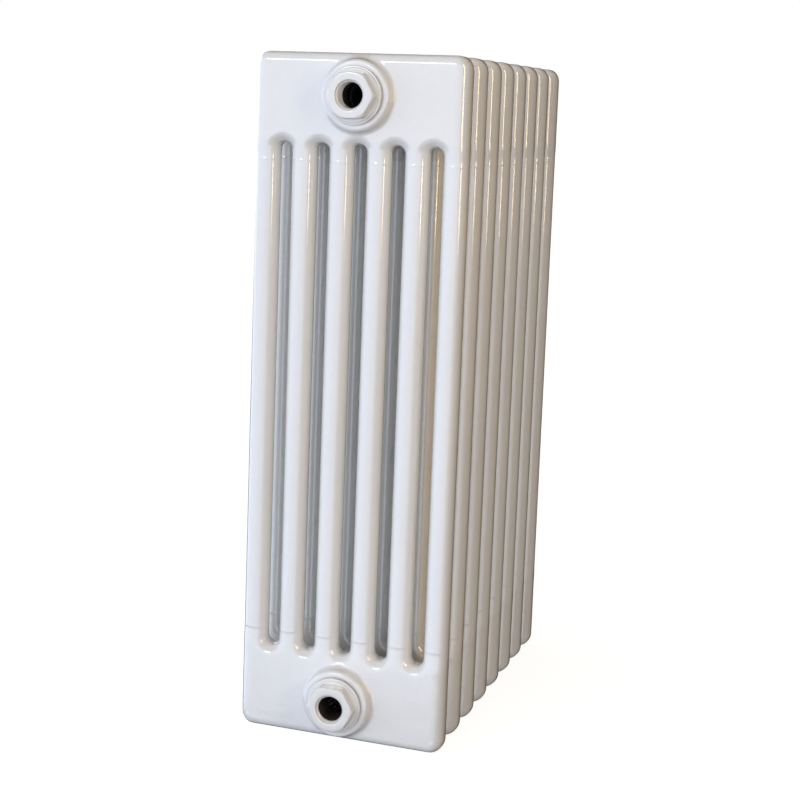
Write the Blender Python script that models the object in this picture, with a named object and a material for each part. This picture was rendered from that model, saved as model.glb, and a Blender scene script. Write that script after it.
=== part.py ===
"""Sectional column radiator, six columns wide and eight sections long.

Frame: metres, +Z up, origin on the floor under the middle of the radiator.
+X runs across the six columns, +Y runs along the row of sections.
Every section is one hollow casting: two headers joined by six round columns,
with a raised hub boss on both faces of each header.  Neighbouring sections are
drawn together at the top and bottom hubs by nipples, each with a flat gasket
between the bosses.  Reducing bushes screw into the four bosses at the ends.
"""
import math

import bmesh
import bpy
from mathutils import Vector
from mathutils.geometry import tessellate_polygon

# ---------------------------------------------------------------- dimensions
SECTIONS = 8              # castings in the row
PITCH = 0.0500            # section to section
COLUMNS = 6
COLUMN_PITCH = 0.0385
COLUMN_R = 0.0124         # outside radius of a column
WIDTH = (COLUMNS - 1) * COLUMN_PITCH + 2 * COLUMN_R   # across the six columns
THICK = 0.0280            # header of one casting, face to face
HEIGHT = 0.6810           # overall height of a casting
CORNER_R = 0.0140         # outline corner, seen along Y
FLAT = 0.0051             # half of each flat of the eight-sided column
WALL = 0.0042             # casting wall at the header faces
WATER_INSET = 0.0068      # waterway in from the outline
WATER_HALF = 0.0054       # half width of the waterway in a column

SLOTS = COLUMNS - 1
SLOT_W = COLUMN_PITCH - 2 * COLUMN_R                  # at the middle of the casting
SLOT_END = 0.0865         # from the top or bottom of the casting to a slot's end

HUB_Z = 0.0405            # hub centre from the top or bottom
HUB_R = 0.0200            # hub bore, root of the thread
COLLAR_R = 0.0245         # threaded collar inside the header
COLLAR_DEPTH = 0.0070     # from the header's face
GAP = 0.0003              # clearance between touching pieces
JOINT_GASKET_T = 0.0012
BOSS_R = 0.0329           # hub boss where it leaves the header
BOSS_TOP_R = 0.0313       # its machined face
BOSS_H = (PITCH - THICK - JOINT_GASKET_T) / 2 - GAP

JOINT_GASKET_R = 0.0290
JOINT_GASKET_HOLE_R = 0.0204
NIPPLE_R = 0.0195
NIPPLE_BORE_R = 0.0155
NIPPLE_LEN = 0.0300

BUSH_GASKET_T = 0.0012
BUSH_GASKET_R = 0.0270
BUSH_SHANK_R = 0.0191
BUSH_SHANK_LEN = 0.0130   # into the hub, from the boss face
BUSH_FLANGE_R = 0.0280
BUSH_FLANGE_T = 0.0035
BUSH_HEX_AF = 0.0430
BUSH_HEX_H = 0.0106
BUSH_BORE_R = 0.0123      # three-quarter inch tapping
BUSH_MOUTH_R = 0.0142
BUSH_MOUTH_DEPTH = 0.0019

ROUND_N = 16              # sides of the hub bores, nipples and gaskets
BUSH_N = 24

# ---------------------------------------------------------------- clean start
for old in list(bpy.data.objects):
    bpy.data.objects.remove(old, do_unlink=True)


# ---------------------------------------------------------------- mesh helpers
class Shell:
    """Collects rings of points and the faces between them."""

    def __init__(self):
        self.points = []
        self.faces = []

    def ring(self, points):
        first = len(self.points)
        self.points.extend(points)
        return list(range(first, first + len(points)))

    def bridge(self, a, b):
        n = len(a)
        for i in range(n):
            j = (i + 1) % n
            self.faces.append((a[i], a[j], b[j], b[i]))

    def fill(self, outer, holes):
        """Flat face in a plane of constant Y, with holes in it."""
        loops = [outer] + holes
        flat = [[Vector((self.points[i][0], self.points[i][2], 0.0)) for i in loop]
                for loop in loops]
        order = [i for loop in loops for i in loop]
        for tri in tessellate_polygon(flat):
            self.faces.append(tuple(order[i] for i in tri))

    def mesh(self, name):
        data = bpy.data.meshes.new(name)
        data.from_pydata(self.points, [], self.faces)
        bm = bmesh.new()
        bm.from_mesh(data)
        bmesh.ops.recalc_face_normals(bm, faces=bm.faces)
        bm.to_mesh(data)
        bm.free()
        data.shade_smooth()
        data.set_sharp_from_angle(angle=math.radians(35))
        return data


def circle(cx, cz, radius, y, count=ROUND_N):
    step = 2.0 * math.pi / count
    return [(cx + radius * math.cos(i * step), y, cz + radius * math.sin(i * step))
            for i in range(count)]


def rounded_outline(inset, y, corner_steps=3):
    """Casting outline seen along Y, moved inwards by inset."""
    hx = WIDTH / 2 - inset
    z0, z1 = inset, HEIGHT - inset
    r = max(CORNER_R - inset, 0.002)
    centres = [(hx - r, z1 - r, 0), (-hx + r, z1 - r, 90), (-hx + r, z0 + r, 180), (hx - r, z0 + r, 270)]
    points = []
    for cx, cz, start in centres:
        for k in range(corner_steps + 1):
            a = math.radians(start + 90.0 * k / corner_steps)
            points.append((cx + r * math.cos(a), y, cz + r * math.sin(a)))
    return points


def slot_outline(cx, grow, y, end_steps=3):
    """Round-ended slot seen along Y, made larger by grow."""
    r = SLOT_W / 2 + grow
    z0 = SLOT_END + SLOT_W / 2
    z1 = HEIGHT - SLOT_END - SLOT_W / 2
    points = []
    for cz, start in ((z1, 0), (z0, 180)):
        for k in range(end_steps + 1):
            a = math.radians(start + 180.0 * k / end_steps)
            points.append((cx + r * math.cos(a), y, cz + r * math.sin(a)))
    return points


SLOT_X = [(i - (SLOTS - 1) / 2) * COLUMN_PITCH for i in range(SLOTS)]
HUBS = (HUB_Z, HEIGHT - HUB_Z)


def section_mesh(name):
    """One hollow casting, its header faces at Y = -THICK/2 and +THICK/2."""
    s = Shell()
    half = THICK / 2

    # outer skin round the outline, rounded like the outer columns
    edge = COLUMN_R - FLAT
    rings = [s.ring(rounded_outline(inset, y)) for inset, y in (
        (edge, -half), (edge * 0.35, -half + 0.0034), (0.0, -FLAT),
        (0.0, FLAT), (edge * 0.35, half - 0.0034), (edge, half))]
    for a, b in zip(rings, rings[1:]):
        s.bridge(a, b)
    face_rim = {-1.0: rings[0], 1.0: rings[-1]}

    # inner skin of the waterway
    inner_rim = {}
    for sign in (-1.0, 1.0):
        inner_rim[sign] = s.ring(rounded_outline(WATER_INSET, sign * (half - WALL)))
    s.bridge(inner_rim[-1.0], inner_rim[1.0])

    # slots: eight-sided columns outside, plain channels inside
    face_holes = {-1.0: [], 1.0: []}
    inner_holes = {-1.0: [], 1.0: []}
    water_grow = COLUMN_R - WATER_HALF
    for cx in SLOT_X:
        loops = [s.ring(slot_outline(cx, grow, y)) for grow, y in (
            (edge, -half), (0.0, -FLAT), (0.0, FLAT), (edge, half))]
        for a, b in zip(loops, loops[1:]):
            s.bridge(a, b)
        face_holes[-1.0].append(loops[0])
        face_holes[1.0].append(loops[-1])
        inner = {sign: s.ring(slot_outline(cx, water_grow, sign * (half - WALL))) for sign in (-1.0, 1.0)}
        s.bridge(inner[-1.0], inner[1.0])
        inner_holes[-1.0].append(inner[-1.0])
        inner_holes[1.0].append(inner[1.0])

    # hubs: boss, bore and the collar inside the header
    for sign in (-1.0, 1.0):
        for cz in HUBS:
            profile = [(BOSS_R, 0.0), (BOSS_TOP_R, BOSS_H), (HUB_R, BOSS_H),
                       (HUB_R, -COLLAR_DEPTH), (COLLAR_R, -COLLAR_DEPTH), (COLLAR_R, -WALL)]
            loops = [s.ring(circle(0.0, cz, r, sign * (half + h))) for r, h in profile]
            for a, b in zip(loops, loops[1:]):
                s.bridge(a, b)
            face_holes[sign].append(loops[0])
            inner_holes[sign].append(loops[-1])

    for sign in (-1.0, 1.0):
        s.fill(face_rim[sign], face_holes[sign])
        s.fill(inner_rim[sign], inner_holes[sign])
    return s.mesh(name)


def tube_mesh(name, outer_r, inner_r, length, count=ROUND_N):
    """Plain ring about the Y axis, centred on its own origin."""
    s = Shell()
    loops = [s.ring(circle(0.0, 0.0, r, y, count))
             for r, y in ((outer_r, -length / 2), (outer_r, length / 2),
                          (inner_r, length / 2), (inner_r, -length / 2))]
    for a, b in zip(loops, loops[1:] + loops[:1]):
        s.bridge(a, b)
    return s.mesh(name)


def hexagon(af, y, count=BUSH_N):
    """Hexagon with flats at top and bottom, cut into count points."""
    step = 2.0 * math.pi / count
    points = []
    for i in range(count):
        a = i * step
        nearest = math.radians(30 + 60 * math.floor(math.degrees(a) / 60.0 + 1e-6))
        r = (af / 2) / math.cos(a - nearest)
        points.append((r * math.cos(a), y, r * math.sin(a)))
    return points


def bush_mesh(name):
    """Reducing bush about the Y axis.  Y = 0 is the boss face; the hexagon
    points to -Y and the threaded shank goes to +Y."""
    s = Shell()
    base = -(BUSH_GASKET_T + 2 * GAP)
    front = base - BUSH_FLANGE_T
    mouth = front - BUSH_HEX_H
    n = BUSH_N
    loops = [
        s.ring(circle(0, 0, BUSH_BORE_R, BUSH_SHANK_LEN, n)),
        s.ring(circle(0, 0, BUSH_SHANK_R - 0.0010, BUSH_SHANK_LEN, n)),
        s.ring(circle(0, 0, BUSH_SHANK_R, BUSH_SHANK_LEN - 0.0010, n)),
        s.ring(circle(0, 0, BUSH_SHANK_R, base, n)),
        s.ring(circle(0, 0, BUSH_FLANGE_R, base, n)),
        s.ring(circle(0, 0, BUSH_FLANGE_R, front + 0.0010, n)),
        s.ring(circle(0, 0, BUSH_FLANGE_R - 0.0010, front, n)),
        s.ring(hexagon(BUSH_HEX_AF, front)),
        s.ring(hexagon(BUSH_HEX_AF, mouth + 0.0016)),
        s.ring(circle(0, 0, BUSH_HEX_AF / 2 - 0.0004, mouth, n)),
        s.ring(circle(0, 0, BUSH_MOUTH_R, mouth, n)),
        s.ring(circle(0, 0, BUSH_BORE_R, mouth + BUSH_MOUTH_DEPTH, n)),
    ]
    for a, b in zip(loops, loops[1:] + loops[:1]):
        s.bridge(a, b)
    return s.mesh(name)


# ---------------------------------------------------------------- materials
def material(name, colour, roughness, metallic):
    mat = bpy.data.materials.new(name)
    mat.use_nodes = True
    shader = mat.node_tree.nodes["Principled BSDF"]
    shader.inputs["Base Color"].default_value = (*colour, 1.0)
    shader.inputs["Roughness"].default_value = roughness
    shader.inputs["Metallic"].default_value = metallic
    return mat


ENAMEL = (0.84, 0.85, 0.86)
FITTING_ENAMEL = (0.83, 0.83, 0.82)
CAST_IRON = (0.09, 0.09, 0.09)
FIBRE = (0.05, 0.05, 0.05)


# ---------------------------------------------------------------- placing
def place(name, mesh, location, turn=0.0, colour=ENAMEL, roughness=0.2, metallic=0.0):
    """Puts a copy of a mesh in place with a material of its own."""
    obj = bpy.data.objects.new(name, mesh)
    obj.location = location
    obj.rotation_euler = (0.0, 0.0, turn)
    obj.parent = assembly
    if not mesh.materials:
        mesh.materials.append(None)
    obj.material_slots[0].link = 'OBJECT'
    obj.material_slots[0].material = material("mat_" + name, colour, roughness, metallic)
    bpy.context.scene.collection.objects.link(obj)
    return obj


assembly = bpy.data.objects.new("radiator", None)
bpy.context.scene.collection.objects.link(assembly)

first_y = -(SECTIONS - 1) * PITCH / 2
casting = section_mesh("section_casting")
for i in range(SECTIONS):
    place("section_%d" % (i + 1), casting, (0.0, first_y + i * PITCH, 0.0), 0.0, ENAMEL, 0.15)

nipple = tube_mesh("hub_nipple", NIPPLE_R, NIPPLE_BORE_R, NIPPLE_LEN)
gasket = tube_mesh("hub_gasket", JOINT_GASKET_R, JOINT_GASKET_HOLE_R, JOINT_GASKET_T)
for i in range(SECTIONS - 1):
    joint_y = first_y + (i + 0.5) * PITCH
    for level, cz in (("bottom", HUBS[0]), ("top", HUBS[1])):
        place("nipple_%s_%d" % (level, i + 1), nipple, (0.0, joint_y, cz), 0.0, CAST_IRON, 0.6, 0.8)
        place("hub_gasket_%s_%d" % (level, i + 1), gasket, (0.0, joint_y, cz), 0.0, FIBRE, 0.8)

bush = bush_mesh("reducing_bush")
bush_gasket = tube_mesh("bush_gasket", BUSH_GASKET_R, HUB_R + 0.0004, BUSH_GASKET_T)
boss_face = (SECTIONS - 1) * PITCH / 2 + THICK / 2 + BOSS_H
for end, sign, turn in (("front", -1.0, 0.0), ("back", 1.0, math.pi)):
    for level, cz in (("bottom", HUBS[0]), ("top", HUBS[1])):
        place("bush_%s_%s" % (end, level), bush, (0.0, sign * boss_face, cz), turn, FITTING_ENAMEL, 0.3)
        place("bush_gasket_%s_%s" % (end, level), bush_gasket,
              (0.0, sign * (boss_face + GAP + BUSH_GASKET_T / 2), cz), 0.0, FIBRE, 0.8)
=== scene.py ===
import math

import bpy
import numpy as np
from mathutils import Matrix, Vector, geometry


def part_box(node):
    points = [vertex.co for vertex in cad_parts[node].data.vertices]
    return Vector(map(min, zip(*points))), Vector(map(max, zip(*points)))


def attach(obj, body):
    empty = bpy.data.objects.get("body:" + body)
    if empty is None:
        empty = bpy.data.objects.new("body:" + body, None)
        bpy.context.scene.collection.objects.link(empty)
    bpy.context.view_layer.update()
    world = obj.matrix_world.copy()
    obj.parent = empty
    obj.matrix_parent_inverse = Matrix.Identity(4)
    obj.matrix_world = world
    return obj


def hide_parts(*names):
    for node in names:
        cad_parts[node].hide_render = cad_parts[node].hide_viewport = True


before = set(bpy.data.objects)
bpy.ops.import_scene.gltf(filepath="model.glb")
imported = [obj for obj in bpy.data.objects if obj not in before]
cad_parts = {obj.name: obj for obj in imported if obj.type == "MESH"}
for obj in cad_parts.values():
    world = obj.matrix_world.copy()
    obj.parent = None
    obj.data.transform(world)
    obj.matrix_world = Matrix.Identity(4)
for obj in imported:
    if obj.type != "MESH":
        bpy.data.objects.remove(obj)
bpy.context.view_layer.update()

# The looks of the six-column sectional radiator: fine casting, bush, nipple
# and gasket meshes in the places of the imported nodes, enamel and iron
# materials, and the studio.  Shapes are worked out in millimetres.
MM = 0.001

# ------------------------------------------------------- section casting
HALF_W = 108.65          # half the width over the outer columns
HEIGHT = 681.0
MID = HEIGHT / 2
COL_R = 12.4             # column radius
COL_PITCH = 38.5
SLOT_R = COL_PITCH / 2 - COL_R
SLOT_C = 93.35           # centre of a slot's round end, from the nearer end
HEAD_Y = 14.0            # half thickness of the headers
CORNER = 14.0            # corner radius seen from the front
R_SIDE = 13.4            # edge radius of a header: sides, top edge, slot ends
R_TOP = 9.0
R_END = 10.8
LIP_AT = 3.4             # shallow groove round a slot's end, from its edge
LIP_DEEP = 0.42
LIP_WIDE = 0.95
HUB_Z = 40.5             # hub axis, from the nearer end
HUB_R = 20.0
BOSS_R = 35.4
BOSS_Y = 24.1            # boss face, from the middle plane
BOSS_DRAFT = 0.158
CREST = 3.0              # rounding of the boss face's rim
FILLET = 3.6             # hollow between the boss and the header
WELT_Z = 104.0           # faint welt round the column where the header ends
WELT_H = 0.21
WELT_W = 1.1


def smooth(a, b, t):
    u = np.clip((t - a) / (b - a), 0.0, 1.0)
    return u * u * (3.0 - 2.0 * u)


def outline(x, zz):
    """Distance to the casting's outline seen from the front, negative in the
    metal, the radius its edge is rounded to there, and the depth of the
    groove round a slot's end.  zz is measured from the nearer end."""
    qx = np.abs(x) - (HALF_W - CORNER)
    qz = CORNER - zz
    lx, lz = np.maximum(qx, 0.0), np.maximum(qz, 0.0)
    l = np.hypot(lx, lz)
    out = l + np.minimum(np.maximum(qx, qz), 0.0) - CORNER
    up = np.where(l > 1e-9, lz / np.maximum(l, 1e-9), (qz > qx) * 1.0)
    side = COL_R + (R_SIDE - COL_R) * smooth(92.0, 76.0, zz)
    r_out = side + (R_TOP - side) * up ** 2
    i = np.clip(np.round(x / COL_PITCH), -2, 2)
    dx = x - i * COL_PITCH
    dz = np.maximum(SLOT_C - zz, 0.0)
    ls = np.hypot(dx, dz)
    slot = SLOT_R - ls
    up = (dz / np.maximum(ls, 1e-9)) ** 2
    r_slot = COL_R + (R_END - COL_R) * up
    groove = LIP_DEEP * up * np.exp(-((slot + LIP_AT) / LIP_WIDE) ** 2)
    outer = out > slot
    return np.where(outer, out, slot), np.where(outer, r_out, r_slot), np.where(outer, 0.0, groove)


def half(zz):
    """Half thickness on the flat or on a column's crown."""
    return (COL_R + (HEAD_Y - COL_R) * smooth(102.0, 82.0, zz)
            + WELT_H * np.exp(-((zz - WELT_Z) / WELT_W) ** 2))


def rounded(a, b, r):
    """Intersection of two distance fields with an edge of radius r."""
    p, q = a + r, b + r
    return (np.hypot(np.maximum(p, 0.0), np.maximum(q, 0.0)) - r
            + np.minimum(np.maximum(p, q), 0.0))


def from_end(z):
    return MID - np.abs(z - MID)


def casting(x, y, z):
    """Signed field of a section, zero on its surface."""
    zz = from_end(z)
    a, r, groove = outline(x, zz)
    slab = rounded(a, np.abs(y) - half(zz) + groove, r)
    rho = np.hypot(x, zz - HUB_Z)
    boss = rounded(rho - (BOSS_R - BOSS_DRAFT * (np.abs(y) - HEAD_Y)), np.abs(y) - BOSS_Y, CREST)
    m = FILLET
    both = (np.maximum(m, np.minimum(slab, boss))
            - np.hypot(np.maximum(m - slab, 0.0), np.maximum(m - boss, 0.0)))
    return rounded(both, HUB_R - rho, 1.0)


def surface_height(x, z):
    """|y| of the casting's front surface over the point (x, z)."""
    zz = from_end(z)
    a, r, groove = outline(x, zz)
    q = np.maximum(a + r, 0.0)
    h = half(zz) - groove - r + np.sqrt(np.maximum(r * r - q * q, 0.0))
    h = np.where(a > -1e-6, np.maximum(h, 0.0) * (h > 0.02), h)
    hub = np.hypot(x, zz - HUB_Z) < 41.5
    lo, hi = np.zeros(hub.sum()), np.full(hub.sum(), 26.0)
    for _ in range(44):
        mid = (lo + hi) / 2
        inside = casting(x[hub], mid, z[hub]) < 1e-7
        lo, hi = np.where(inside, mid, lo), np.where(inside, hi, mid)
    h[hub] = lo
    return np.where(h < 1e-3, 0.0, h)


def section_mesh(name, rows=8, around=88, hub_fine=True):
    """A casting as one closed mesh.  Its outline, slots and hubs are rings of
    points, joined by a triangulation in the front plane; the front and the
    back are that plane raised to the surface's height on either side."""
    pts, edges = [], []

    def loop(xy, keep=None, closed=True):
        base = len(pts)
        ok = np.ones(len(xy), bool) if keep is None else keep
        index = {}
        for i, p in enumerate(xy):
            if ok[i]:
                index[i] = len(pts)
                pts.append(p)
        n = len(xy)
        for i in range(n if closed else n - 1):
            j = (i + 1) % n
            if i in index and j in index:
                edges.append((index[i], index[j]))
        return base

    def away_from_hub(xy, limit):
        xy = np.asarray(xy)
        return np.hypot(xy[:, 0], from_end(xy[:, 1]) - HUB_Z) > limit

    run = [SLOT_C, 95.6, 98.0, 100.0, 101.4, 102.4, 103.2, 104.0, 104.8, 105.6, 106.6, 108.2, 112.0,
           124.0, 150.0, 200.0, 270.0, MID]
    run = run + [HEIGHT - z for z in run[-2::-1]]
    na = 8
    for k in range(rows + 1):
        c = 1.0 - math.cos(math.pi / 2 * k / rows)
        for i in range(-2, 3):
            cx = i * COL_PITCH
            t = COL_R * c
            ring = [(cx + SLOT_R + t, z) for z in run]
            arc = []
            for s in range(1, 2 * na):
                a = math.pi * s / (2 * na)
                ta = (COL_R + (R_END - COL_R) * math.sin(a) ** 2) * c
                arc.append(((SLOT_R + ta) * math.cos(a), (SLOT_R + ta) * math.sin(a)))
            ring += [(cx + p[0], HEIGHT - SLOT_C + p[1]) for p in arc]
            ring += [(cx - SLOT_R - t, z) for z in run[::-1]]
            ring += [(cx - p[0], SLOT_C - p[1]) for p in arc]
            loop(ring, away_from_hub(ring, 39.7))
        right = []
        for z in [88.0, 82.0, 76.0, 68.0, 58.0, 48.0, 38.0, 28.0, 20.0, CORNER][::-1]:
            side = COL_R + (R_SIDE - COL_R) * float(smooth(92.0, 76.0, z))
            right.append((HALF_W - side * c, z))
        right += [(HALF_W - COL_R * c, z) for z in run]
        right += [(x, HEIGHT - z) for x, z in right[9::-1]]
        corner = []
        for s in range(1, 8):
            a = math.pi / 2 * s / 8
            ta = (R_SIDE + (R_TOP - R_SIDE) * math.sin(a) ** 2) * c
            corner.append((HALF_W - CORNER + (CORNER - ta) * math.cos(a),
                           HEIGHT - CORNER + (CORNER - ta) * math.sin(a)))
        top = [(x, HEIGHT - R_TOP * c) for x in np.linspace(HALF_W - CORNER, 0.0, 21)]
        quarter = corner + top
        ring = right + quarter + [(-x, z) for x, z in quarter[-2::-1]]
        ring += [(-x, z) for x, z in right[::-1]]
        ring += [(-x, HEIGHT - z) for x, z in quarter] + [(x, HEIGHT - z) for x, z in quarter[-2::-1]]
        loop(ring, away_from_hub(ring, 39.7))

    flat_edge = BOSS_R - BOSS_DRAFT * (BOSS_Y - HEAD_Y) - CREST
    rim = flat_edge + CREST
    if hub_fine:
        radii = [HUB_R, HUB_R + 0.06, HUB_R + 0.3, HUB_R + 1.0, 24.0, flat_edge]
        radii += [flat_edge + CREST * math.sin(math.radians(a)) for a in (12, 24, 36, 48, 60, 71)]
        radii += [rim + 0.02, rim + 0.35, rim + 0.75, rim + 1.1]
        radii += [BOSS_R + FILLET * (1 - math.cos(math.radians(a))) for a in (14, 28, 42, 56, 70, 90)]
    else:
        radii = [HUB_R, HUB_R + 0.3, HUB_R + 1.0, flat_edge, flat_edge + CREST * 0.5, rim - 0.3, rim + 0.4,
                 BOSS_R + 0.1, BOSS_R + FILLET * 0.3, BOSS_R + FILLET]
    for hz in (HUB_Z, HEIGHT - HUB_Z):
        for r in radii:
            loop([(r * math.cos(2 * math.pi * i / around), hz + r * math.sin(2 * math.pi * i / around))
                  for i in range(around)])

    # loose points over the flats, so that no triangle is long
    step = 5.0
    xs, zs = [], []
    for row in range(int(112 / (step * 0.866)) + 1):
        z = 2.0 + row * step * 0.866
        x = np.arange(-21, 22) * step + (step / 2 if row % 2 else 0.0)
        xs.append(x)
        zs.append(np.full(len(x), z))
    xs, zs = np.concatenate(xs), np.concatenate(zs)
    a, r, _ = outline(xs, zs)
    ok = (a < -r - 1.6) & (np.hypot(xs, zs - HUB_Z) > 41.8)
    for x, z in zip(xs[ok], zs[ok]):
        pts.append((x, z))
        pts.append((x, HEIGHT - z))

    made, _, faces, _, _, _ = geometry.delaunay_2d_cdt([Vector(p) for p in pts], edges, [], 0, 1e-4)
    flat = np.array([(v.x, v.y) for v in made])
    tri = np.array([f for f in faces if len(f) == 3])
    c = flat[tri].mean(1)
    inside = (outline(c[:, 0], from_end(c[:, 1]))[0] < 0) & (
        np.hypot(c[:, 0], from_end(c[:, 1]) - HUB_Z) > HUB_R * 0.9995)
    tri = tri[inside]
    p, q, s = flat[tri[:, 0]], flat[tri[:, 1]], flat[tri[:, 2]]
    area = (q[:, 0] - p[:, 0]) * (s[:, 1] - p[:, 1]) - (q[:, 1] - p[:, 1]) * (s[:, 0] - p[:, 0])
    tri = np.where((area < 0)[:, None], tri[:, ::-1], tri)[np.abs(area) > 1e-9]

    used = np.unique(tri)
    back_of = {}
    h = surface_height(flat[:, 0].copy(), flat[:, 1].copy())
    verts, front_id = [], {}
    for i in used:
        front_id[i] = len(verts)
        verts.append((flat[i, 0], -h[i], flat[i, 1]))
    for i in used:
        if h[i] == 0.0:
            back_of[i] = front_id[i]
        else:
            back_of[i] = len(verts)
            verts.append((flat[i, 0], h[i], flat[i, 1]))
    polys = [[front_id[i] for i in t] for t in tri] + [[back_of[i] for i in t[::-1]] for t in tri]
    count = {}
    for t in tri:
        for i, j in ((t[0], t[1]), (t[1], t[2]), (t[2], t[0])):
            count[(i, j)] = count.get((i, j), 0) + 1
    bore = len(polys)
    for i, j in count:
        if (j, i) not in count:
            quad = [front_id[j], front_id[i], back_of[i], back_of[j]]
            clean = [v for n, v in enumerate(quad) if v != quad[n - 1]]
            if len(set(clean)) >= 3:
                polys.append(clean)
    co = np.array(verts)
    mesh = bpy.data.meshes.new(name)
    mesh.from_pydata((co * MM).tolist(), [], polys)
    mesh.update()
    rho = np.hypot(co[:, 0], from_end(co[:, 2]) - HUB_Z)
    hollow = rho < HUB_R + 0.02
    for f in mesh.polygons[bore:]:
        if all(hollow[v] for v in f.vertices):
            f.material_index = 1
    e = 0.01
    x, y, z = co.T
    g = np.stack([casting(x + e, y, z) - casting(x - e, y, z),
                  casting(x, y + e, z) - casting(x, y - e, z),
                  casting(x, y, z + e) - casting(x, y, z - e)], 1)
    g /= np.maximum(np.linalg.norm(g, axis=1), 1e-12)[:, None]
    mesh.polygons.foreach_set("use_smooth", np.ones(len(mesh.polygons), bool))
    mesh.normals_split_custom_set_from_vertices(g.tolist())
    print(name, len(co), "vertices", len(polys), "faces")
    return mesh


# ------------------------------------------------- turned and hexagonal pieces
def turned_mesh(name, rings, around, materials=None):
    """A closed ring-shaped mesh about the Y axis.  rings are functions or
    numbers for the radius, with the place along Y, going round the profile
    once with the metal on the inner side."""
    a = np.arange(around) * 2 * math.pi / around
    co, faces, mats = [], [], []
    for radius, y in rings:
        r = radius(a) if callable(radius) else np.full(around, float(radius))
        for t, rr in zip(a, r):
            co.append((rr * math.cos(t) * MM, y * MM, rr * math.sin(t) * MM))
    m = len(rings)
    for k in range(m):
        n = (k + 1) % m
        for i in range(around):
            j = (i + 1) % around
            faces.append((k * around + i, k * around + j, n * around + j, n * around + i))
            mats.append(materials[k] if materials else 0)
    mesh = bpy.data.meshes.new(name)
    mesh.from_pydata(co, [], faces)
    mesh.update()
    vol = 0.0
    for f in mesh.polygons:
        vol += f.center.dot(f.normal) * f.area
    if vol < 0:
        mesh.flip_normals()
    mesh.polygons.foreach_set("material_index", np.array(mats, np.int32))
    mesh.polygons.foreach_set("use_smooth", np.ones(len(mesh.polygons), bool))
    return mesh


def soft_min(a, b, k):
    h = np.clip(0.5 + 0.5 * (b - a) / k, 0.0, 1.0)
    return b * (1 - h) + a * h - k * h * (1 - h)


FLANGE = 3.5
HEX_H = 10.6
HEX_AF = 43.0
BORE_R = 12.3
MOUTH_R = 14.2
THREAD = 1.814


def hex_radius(a, grow=0.0):
    """Radius of the hexagon at angle a, flats at the top and bottom, with
    the corners eased."""
    u = np.mod(a, math.pi / 3) - math.pi / 6
    return soft_min((HEX_AF / 2 + grow) / np.cos(u), np.full_like(u, 24.15 + grow), 0.7)


def bush_mesh(name, dark_from):
    """Y = 0 is the flange's seat, the hexagon points to -Y, the shank to +Y.
    The thread is enamelled for the given depth in from the front, with dark iron beyond; a short depth makes that
    dark iron painted shade inside the bore."""
    rings, mats = [], []

    def add(radius, y, mat=0):
        rings.append((radius, y))
        mats.append(mat)

    shank = 1.8 + 13.0           # the gasket and its clearance, then the thread in the hub
    # shank, from its inner end to the seat
    add(18.2, shank, 1)
    y = shank - 0.9
    while y > 2.6:
        turn = (shank - y) / 2.309
        tooth = abs(turn % 1.0 - 0.5) * 2
        add(19.05 - 0.9 * tooth, y, 1)
        y -= 2.309 / 4
    add(18.2, 2.3, 1)
    add(18.2, 0.15, 1)
    add(18.4, 0.0, 0)
    # flange: a rounded outer step, a smaller step, then the seat of the hexagon
    add(27.3, 0.0)
    for d in (20, 45, 70):
        add(27.3 + 0.7 * math.sin(math.radians(d)), -0.7 + 0.7 * math.cos(math.radians(d)))
    add(28.0, -0.75)
    add(28.0, -1.45)
    for d in (22, 45, 68, 90):
        add(27.1 + 0.9 * math.cos(math.radians(d)), -1.45 - 0.9 * math.sin(math.radians(d)))
    add(26.7, -2.352)
    add(26.2, -2.356)
    add(25.95, -2.80)
    for d in (10, 35, 60, 90):
        add(25.25 + 0.6 * math.cos(math.radians(d)), -2.9 - 0.6 * math.sin(math.radians(d)))
    add(25.1, -3.5)
    add(lambda a: hex_radius(a, 0.72), -3.5)
    # hexagon, with a hollow at its foot and a turned chamfer at its front
    front = -(FLANGE + HEX_H)
    for g, y in ((0.55, -3.50), (0.24, -3.56), (0.07, -3.74), (0.0, -4.05), (0.0, -6.0), (0.0, -8.5),
                 (0.0, -10.6)):
        add(lambda a, g=g: hex_radius(a, g), y)
    for d in (2.9, 2.4, 2.0, 1.6, 1.2, 0.9, 0.62, 0.38, 0.2, 0.07, 0.0):
        ease = 0.75
        cut = ease * (1 - math.sqrt(max(0.0, 1 - max(0.0, 1 - d / ease) ** 2)))
        add(lambda a, d=d, cut=cut: soft_min(hex_radius(a), np.full_like(a, 21.75 + d * 1.55), 0.5) - cut,
            front + d)
    add(19.6, front)
    add(17.0, front)
    # mouth with a rounded rim, then the pipe thread
    for d in (90, 68, 45, 22, 0):
        add(MOUTH_R + 0.9 - 0.9 * math.cos(math.radians(d)), front + 0.9 - 0.9 * math.sin(math.radians(d)))
    add(MOUTH_R - 0.05, front + 1.5)
    add(13.7, front + 1.95)
    y = front + 2.35
    end = shank - 0.6
    deep = front + dark_from
    while y < deep + 3.0:
        def radius(a, y=y):
            turn = np.mod((y - front) / THREAD + a / (2 * math.pi), 1.0)
            return BORE_R + 0.95 * (1 - np.abs(turn - 0.5) * 2)
        add(radius, y, 0 if y < deep else 1)
        y += THREAD / 5
    add(BORE_R, y + 0.4, 1)
    add(BORE_R, end - 1.0, 1)
    add(BORE_R + 0.2, shank, 1)
    return turned_mesh(name, rings, 96, mats)


def ring_mesh(name, outer, inner, thick, ease):
    h = thick / 2
    rings = [(inner + ease, -h), (inner, -h + ease), (inner, h - ease), (inner + ease, h),
             (outer - ease, h), (outer - ease * 0.3, h - ease * 0.3), (outer, h - ease),
             (outer, -h + ease), (outer - ease * 0.3, -h + ease * 0.3), (outer - ease, -h)]
    return turned_mesh(name, rings, 96)


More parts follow.
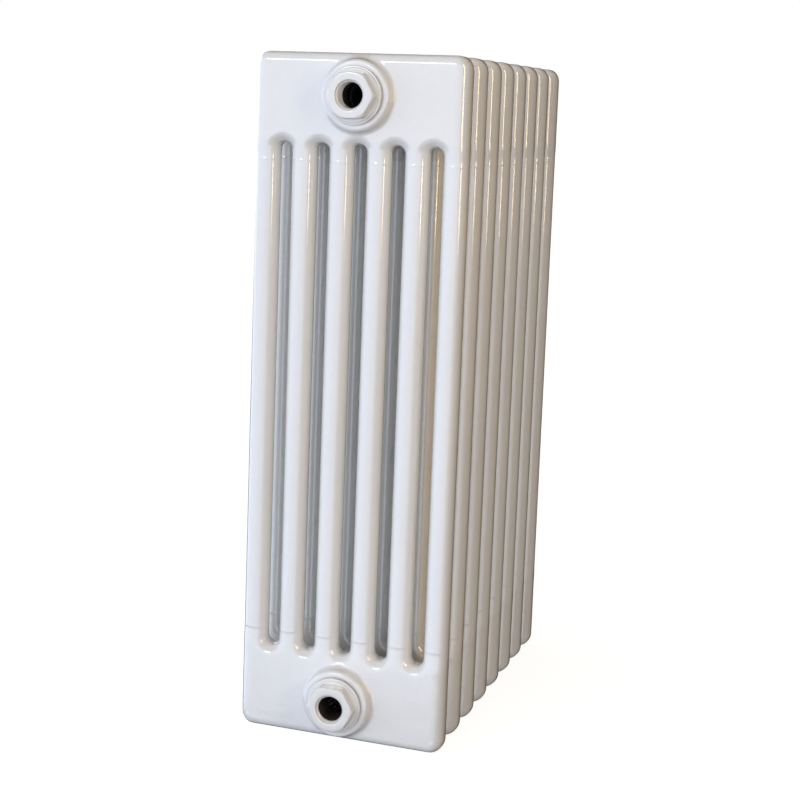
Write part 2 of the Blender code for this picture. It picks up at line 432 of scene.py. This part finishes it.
def nipple_mesh(name):
    """Hub nipple: ring grooves for the threads either side of a plain waist,
    a plain bore with a step at each end."""
    rings = []
    half_len = 15.0
    rings.append((15.5, -half_len + 0.8))
    rings.append((15.5, half_len - 0.8))
    rings.append((16.2, half_len))
    rings.append((18.2, half_len))
    y = half_len - 0.7
    while y > -half_len + 0.6:
        if abs(y) < 2.0:
            rings.append((18.5, y))
        else:
            turn = (half_len - abs(y)) / 2.309
            rings.append((19.45 - 1.0 * abs(turn % 1.0 - 0.5) * 2, y))
        y -= 2.309 / 4
    rings.append((18.2, -half_len))
    rings.append((16.2, -half_len))
    return turned_mesh(name, rings, 72)


# ------------------------------------------------------------------ materials
def nodes_of(mat):
    mat.use_nodes = True
    t = mat.node_tree
    for n in list(t.nodes):
        t.nodes.remove(n)
    return t


def noise(t, vector, scale, detail, rough=0.5):
    n = t.nodes.new("ShaderNodeTexNoise")
    n.inputs["Scale"].default_value = scale
    n.inputs["Detail"].default_value = detail
    n.inputs["Roughness"].default_value = rough
    t.links.new(vector, n.inputs["Vector"])
    return n


def ramp(t, fac, stops):
    n = t.nodes.new("ShaderNodeValToRGB")
    e = n.color_ramp.elements
    while len(e) > 1:
        e.remove(e[0])
    e[0].position, e[0].color = stops[0][0], (*stops[0][1], 1.0)
    for p, c in stops[1:]:
        el = e.new(p)
        el.color = (*c, 1.0)
    t.links.new(fac, n.inputs["Fac"])
    return n


def multiply(t, a, b, kind="MULTIPLY", factor=1.0):
    n = t.nodes.new("ShaderNodeMix")
    n.data_type = "RGBA"
    n.blend_type = kind
    n.inputs["Factor"].default_value = factor
    t.links.new(a, n.inputs["A"])
    t.links.new(b, n.inputs["B"])
    return n.outputs["Result"]


def maths(t, op, a, b=None, clamp=False):
    n = t.nodes.new("ShaderNodeMath")
    n.operation = op
    n.use_clamp = clamp
    for i, v in enumerate((a, b)):
        if v is None:
            continue
        if isinstance(v, (int, float)):
            n.inputs[i].default_value = v
        else:
            t.links.new(v, n.inputs[i])
    return n.outputs[0]


def enamel(name, base=(0.765, 0.755, 0.722), peel=1.0, gloss=(0.070, 0.135)):
    """White stoved enamel over a casting: a slightly uneven white, orange
    peel, long soft waves of the casting beneath, and a few pin specks."""
    mat = bpy.data.materials.new(name)
    t = nodes_of(mat)
    out = t.nodes.new("ShaderNodeOutputMaterial")
    p = t.nodes.new("ShaderNodeBsdfPrincipled")
    t.links.new(p.outputs[0], out.inputs[0])
    where = t.nodes.new("ShaderNodeNewGeometry").outputs["Position"]

    cloud = noise(t, where, 9.0, 3.0)
    tone = ramp(t, cloud.outputs["Fac"], [(0.30, tuple(c * 0.975 for c in base)), (0.70, base)])
    fine = noise(t, where, 140.0, 2.0)
    mottle = ramp(t, fine.outputs["Fac"], [(0.35, (0.985, 0.985, 0.982)), (0.62, (1.0, 1.0, 1.0))])
    colour = multiply(t, tone.outputs["Color"], mottle.outputs["Color"])
    # pin specks in the enamel, sparse: the centres of a few cells only
    cell = t.nodes.new("ShaderNodeTexVoronoi")
    cell.feature = "F1"
    cell.inputs["Scale"].default_value = 34.0
    cell.inputs["Randomness"].default_value = 1.0
    t.links.new(where, cell.inputs["Vector"])
    pick = t.nodes.new("ShaderNodeSeparateColor")
    t.links.new(cell.outputs["Color"], pick.inputs["Color"])
    chosen = maths(t, "GREATER_THAN", pick.outputs["Red"], 0.955)
    near = maths(t, "LESS_THAN", cell.outputs["Distance"], 0.016)
    speck = maths(t, "MULTIPLY", chosen, near)
    grain = t.nodes.new("ShaderNodeMix")
    grain.data_type = "RGBA"
    t.links.new(speck, grain.inputs["Factor"])
    t.links.new(colour, grain.inputs["A"])
    grain.inputs["B"].default_value = (0.36, 0.31, 0.26, 1.0)
    t.links.new(grain.outputs["Result"], p.inputs["Base Color"])

    sheen = noise(t, where, 26.0, 3.0)
    rough = t.nodes.new("ShaderNodeMapRange")
    rough.inputs["From Min"].default_value = 0.35
    rough.inputs["From Max"].default_value = 0.68
    rough.inputs["To Min"].default_value = gloss[0]
    rough.inputs["To Max"].default_value = gloss[1]
    t.links.new(sheen.outputs["Fac"], rough.inputs["Value"])
    t.links.new(rough.outputs["Result"], p.inputs["Roughness"])

    skin = noise(t, where, 330.0, 1.0)
    sag = noise(t, where, 46.0, 2.0)
    b1 = t.nodes.new("ShaderNodeBump")
    b1.inputs["Strength"].default_value = 0.18 * peel
    b1.inputs["Distance"].default_value = 0.00022
    t.links.new(skin.outputs["Fac"], b1.inputs["Height"])
    b2 = t.nodes.new("ShaderNodeBump")
    b2.inputs["Strength"].default_value = 0.26 * peel
    b2.inputs["Distance"].default_value = 0.0011
    t.links.new(sag.outputs["Fac"], b2.inputs["Height"])
    t.links.new(b2.outputs["Normal"], b1.inputs["Normal"])
    t.links.new(b1.outputs["Normal"], p.inputs["Normal"])
    p.inputs["IOR"].default_value = 1.52
    p.inputs["Specular IOR Level"].default_value = 0.5
    p.inputs["Coat Weight"].default_value = 1.0
    p.inputs["Coat Roughness"].default_value = 0.13
    p.inputs["Coat IOR"].default_value = 1.55
    return mat


def iron(name, dark=(0.018, 0.016, 0.014), light=(0.060, 0.046, 0.036), metal=0.35, scale=260.0):
    """Bare cast iron inside the waterway: near black, with a rusty bloom and
    a sand-cast grain."""
    mat = bpy.data.materials.new(name)
    t = nodes_of(mat)
    out = t.nodes.new("ShaderNodeOutputMaterial")
    p = t.nodes.new("ShaderNodeBsdfPrincipled")
    t.links.new(p.outputs[0], out.inputs[0])
    where = t.nodes.new("ShaderNodeNewGeometry").outputs["Position"]
    bloom = noise(t, where, 70.0, 5.0, 0.6)
    tone = ramp(t, bloom.outputs["Fac"], [(0.38, dark), (0.72, light)])
    t.links.new(tone.outputs["Color"], p.inputs["Base Color"])
    grain = noise(t, where, scale, 4.0, 0.65)
    rough = ramp(t, grain.outputs["Fac"], [(0.3, (0.52,) * 3), (0.7, (0.80,) * 3)])
    t.links.new(rough.outputs["Color"], p.inputs["Roughness"])
    b = t.nodes.new("ShaderNodeBump")
    b.inputs["Strength"].default_value = 0.6
    b.inputs["Distance"].default_value = 0.0004
    t.links.new(grain.outputs["Fac"], b.inputs["Height"])
    t.links.new(b.outputs["Normal"], p.inputs["Normal"])
    p.inputs["Metallic"].default_value = metal
    return mat


def fibre(name):
    """Pressed fibre gasket: dark grey-brown with short strands."""
    mat = bpy.data.materials.new(name)
    t = nodes_of(mat)
    out = t.nodes.new("ShaderNodeOutputMaterial")
    p = t.nodes.new("ShaderNodeBsdfPrincipled")
    t.links.new(p.outputs[0], out.inputs[0])
    where = t.nodes.new("ShaderNodeNewGeometry").outputs["Position"]
    strands = t.nodes.new("ShaderNodeTexVoronoi")
    strands.inputs["Scale"].default_value = 900.0
    t.links.new(where, strands.inputs["Vector"])
    mix = noise(t, where, 420.0, 4.0, 0.7)
    tone = ramp(t, mix.outputs["Fac"], [(0.30, (0.050, 0.046, 0.042)), (0.55, (0.092, 0.084, 0.076)),
                                        (0.78, (0.150, 0.136, 0.118))])
    t.links.new(tone.outputs["Color"], p.inputs["Base Color"])
    p.inputs["Roughness"].default_value = 0.85
    b = t.nodes.new("ShaderNodeBump")
    b.inputs["Strength"].default_value = 0.5
    b.inputs["Distance"].default_value = 0.00015
    t.links.new(strands.outputs["Distance"], b.inputs["Height"])
    t.links.new(b.outputs["Normal"], p.inputs["Normal"])
    return mat


section_enamel = enamel("section_enamel")
bush_enamel = enamel("bush_enamel", base=(0.74, 0.728, 0.685), peel=0.55, gloss=(0.09, 0.15))
hub_iron = iron("hub_bare_iron")
nipple_iron = iron("nipple_iron", dark=(0.045, 0.041, 0.038), light=(0.110, 0.085, 0.062), metal=0.7, scale=420.0)
gasket_fibre = fibre("gasket_fibre")

# --------------------------------------------------------------------- pieces
PITCH_Y = 50.0
SECTIONS = 8


def piece(name, mesh, place, materials, node):
    ob = bpy.data.objects.new(name, mesh)
    bpy.context.scene.collection.objects.link(ob)
    ob.matrix_world = place
    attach(ob, "root")
    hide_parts(node)
    for m in materials:
        if m.name not in [x.name for x in mesh.materials if x]:
            mesh.materials.append(m)
    return ob


end_section = section_mesh("end_section_casting", rows=12)
inner_section = section_mesh("inner_section_casting", rows=7, around=48, hub_fine=False)
for k in range(SECTIONS):
    node = "section_%d" % (k + 1)
    low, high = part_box(node)
    y = (low.y + high.y) / 2
    mesh = end_section if k in (0, SECTIONS - 1) else inner_section
    piece("casting_%d" % (k + 1), mesh, Matrix.Translation((0, y, 0)), [section_enamel, hub_iron], node)

# The bottom bush's thread turns to dark iron only 4 mm in from its mouth: painted shade for the inside of a bore
# seen from above. The top bush keeps its enamel 15.5 mm in, with bare iron beyond.
bushes = {"top": bush_mesh("reducing_bush_top", 15.5), "bottom": bush_mesh("reducing_bush_bottom", 4.0)}
bush_gasket = ring_mesh("bush_seal", 27.0, 20.4, 1.2, 0.25)
hub_gasket = ring_mesh("hub_seal", 29.0, 20.4, 1.2, 0.25)
nipple = nipple_mesh("threaded_nipple")
turn = Matrix.Rotation(math.pi, 4, "Z")
for level in ("bottom", "top"):
    for end in ("front", "back"):
        node = "bush_%s_%s" % (end, level)
        low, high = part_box(node)
        z = (low.z + high.z) / 2
        if end == "front":
            place = Matrix.Translation((0, low.y + (FLANGE + HEX_H) * MM, z))
        else:
            place = Matrix.Translation((0, high.y - (FLANGE + HEX_H) * MM, z)) @ turn
        piece("threaded_" + node, bushes[level], place, [bush_enamel, hub_iron], node)
        node = "bush_gasket_%s_%s" % (end, level)
        low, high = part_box(node)
        piece("seal_" + node, bush_gasket, Matrix.Translation((low + high) / 2), [gasket_fibre], node)
    for k in range(1, SECTIONS):
        node = "nipple_%s_%d" % (level, k)
        low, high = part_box(node)
        piece("hub_" + node, nipple, Matrix.Translation((low + high) / 2), [nipple_iron], node)
        node = "hub_gasket_%s_%d" % (level, k)
        low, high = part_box(node)
        piece("seal_" + node, hub_gasket, Matrix.Translation((low + high) / 2), [gasket_fibre], node)

# ---------------------------------------------------------------------- floor
floor_mesh = bpy.data.meshes.new("studio_floor")
size = 150.0
floor_mesh.from_pydata([(-size, -size, 0), (size, -size, 0), (size, size, 0), (-size, size, 0)], [], [(0, 1, 2, 3)])
floor = bpy.data.objects.new("studio_floor", floor_mesh)
bpy.context.scene.collection.objects.link(floor)
floor.location.z = -0.0003
# what the floor would throw back is part of the light below the horizon
floor.visible_diffuse = False
floor.visible_glossy = False
floor.visible_transmission = False
floor.visible_shadow = False
paper = bpy.data.materials.new("studio_paper")
t = nodes_of(paper)
o = t.nodes.new("ShaderNodeOutputMaterial")
p = t.nodes.new("ShaderNodeBsdfPrincipled")
t.links.new(p.outputs[0], o.inputs[0])
p.inputs["Base Color"].default_value = (0.46, 0.455, 0.45, 1)
p.inputs["Roughness"].default_value = 0.8
p.inputs["Specular IOR Level"].default_value = 0.1
p.inputs["Emission Color"].default_value = (1.0, 1.0, 1.0, 1)
p.inputs["Emission Strength"].default_value = 0.86
floor_mesh.materials.append(paper)

# ---------------------------------------------------------------------- light
# A very large cool softbox in front and to the left, a dim warm room behind
# it to the right, and a bright ceiling.  The camera sees plain white beyond
# the floor.
world = bpy.data.worlds.new("studio")
bpy.context.scene.world = world
world.use_nodes = True
t = world.node_tree
for n in list(t.nodes):
    t.nodes.remove(n)
w_out = t.nodes.new("ShaderNodeOutputWorld")
coord = t.nodes.new("ShaderNodeTexCoord")
norm = t.nodes.new("ShaderNodeVectorMath")
norm.operation = "NORMALIZE"
t.links.new(coord.outputs["Generated"], norm.inputs[0])
sep = t.nodes.new("ShaderNodeSeparateXYZ")
t.links.new(norm.outputs[0], sep.inputs[0])
dx, dy, dz = sep.outputs


def towards(azimuth):
    """Cosine of the angle, seen from above, between a direction and that
    azimuth, which is 0 at -Y and grows towards +X."""
    a = math.radians(azimuth)
    flat = maths(t, "SQRT", maths(t, "ADD", maths(t, "MULTIPLY", dx, dx), maths(t, "MULTIPLY", dy, dy)))
    dot = maths(t, "ADD", maths(t, "MULTIPLY", dx, math.sin(a)), maths(t, "MULTIPLY", dy, -math.cos(a)))
    return maths(t, "DIVIDE", dot, maths(t, "MAXIMUM", flat, 1e-4))


def step_up(value, low, high):
    n = t.nodes.new("ShaderNodeMapRange")
    n.interpolation_type = "SMOOTHSTEP"
    n.inputs["From Min"].default_value = low
    n.inputs["From Max"].default_value = high
    t.links.new(value, n.inputs["Value"])
    return n.outputs["Result"]


def blend(fac, a, b):
    n = t.nodes.new("ShaderNodeMix")
    n.data_type = "RGBA"
    t.links.new(fac, n.inputs["Factor"])
    for socket, v in (("A", a), ("B", b)):
        if isinstance(v, tuple):
            n.inputs[socket].default_value = (*v, 1.0)
        else:
            t.links.new(v, n.inputs[socket])
    return n.outputs["Result"]


COOL = (1.42, 1.56, 1.88)
LOW_COOL = (0.13, 0.135, 0.16)
WARM = (0.105, 0.065, 0.024)
LOW_WARM = (0.020, 0.011, 0.004)
CEILING = (0.50, 0.51, 0.54)
DIM_CEILING = (0.17, 0.125, 0.070)
BACK = (2.1, 2.1, 2.15)
cool = step_up(towards(-36.0), math.cos(math.radians(81)), math.cos(math.radians(78)))
above = step_up(dz, math.sin(math.radians(-21.9)), math.sin(math.radians(-20.9)))
beyond = step_up(dz, math.sin(math.radians(12)), math.sin(math.radians(26)))
warm = blend(step_up(dz, -0.25, 0.20), LOW_WARM, WARM)
sides = blend(cool, warm, blend(above, LOW_COOL, COOL))
behind = maths(t, "MULTIPLY", step_up(towards(230.0), math.cos(math.radians(40)), math.cos(math.radians(28))),
               step_up(dz, math.sin(math.radians(-12)), math.sin(math.radians(4))))
sides = blend(behind, sides, BACK)
room = blend(beyond, sides, blend(cool, DIM_CEILING, CEILING))
lit = t.nodes.new("ShaderNodeBackground")
t.links.new(room, lit.inputs["Color"])
seen = t.nodes.new("ShaderNodeBackground")
seen.inputs["Color"].default_value = (1.0, 1.0, 1.0, 1.0)
ray = t.nodes.new("ShaderNodeLightPath")
pick = t.nodes.new("ShaderNodeMixShader")
t.links.new(ray.outputs["Is Camera Ray"], pick.inputs[0])
t.links.new(lit.outputs[0], pick.inputs[1])
t.links.new(seen.outputs[0], pick.inputs[2])
t.links.new(pick.outputs[0], w_out.inputs[0])


def window(name, azimuth, elevation, distance, width, height, power, colour):
    a, e = math.radians(azimuth), math.radians(elevation)
    away = Vector((math.sin(a) * math.cos(e), -math.cos(a) * math.cos(e), math.sin(e)))
    data = bpy.data.lights.new(name, "AREA")
    data.shape = "RECTANGLE"
    data.size, data.size_y = width, height
    data.energy = power
    data.color = colour
    ob = bpy.data.objects.new(name, data)
    bpy.context.scene.collection.objects.link(ob)
    ob.location = Vector((0, -0.19, 0.4)) + away * distance
    ob.rotation_mode = "QUATERNION"
    ob.rotation_quaternion = away.to_track_quat("Z", "Y")
    return ob


window("window", -20.0, 17.5, 3.2, 1.1, 0.38, 15.0, (0.94, 0.97, 1.0))
window("door", 59.0, 16.0, 1.6, 0.21, 0.95, 6.6, (1.0, 0.77, 0.47))
window("door_low", 59.0, -16.0, 1.6, 0.21, 0.89, 0.9, (1.0, 0.72, 0.40))

# --------------------------------------------------------------------- camera
cam_data = bpy.data.cameras.new("camera")
cam = bpy.data.objects.new("camera", cam_data)
bpy.context.scene.collection.objects.link(cam)
cam_data.sensor_width = 36.0
cam_data.lens = 71.5675
cam_data.shift_x = 0.0021575
cam_data.shift_y = -0.084601
cam_data.clip_start, cam_data.clip_end = 0.05, 400.0
right = Vector((0.94627873, 0.32120607, 0.03719162))
up = Vector((-0.07904754, 0.1182655, 0.98983067))
back = Vector((0.31354114, -0.93959562, 0.13730267))
cam.matrix_world = Matrix(((right.x, up.x, back.x, 0.52695432),
                           (right.y, up.y, back.y, -1.62192302),
                           (right.z, up.z, back.z, 0.62685351),
                           (0, 0, 0, 1)))
bpy.context.scene.camera = cam
bpy.context.scene.view_settings.view_transform = "Standard"
bpy.context.scene.view_settings.look = "None"
bpy.context.scene.view_settings.exposure = 0.0
bpy.context.scene.view_settings.gamma = 1.0
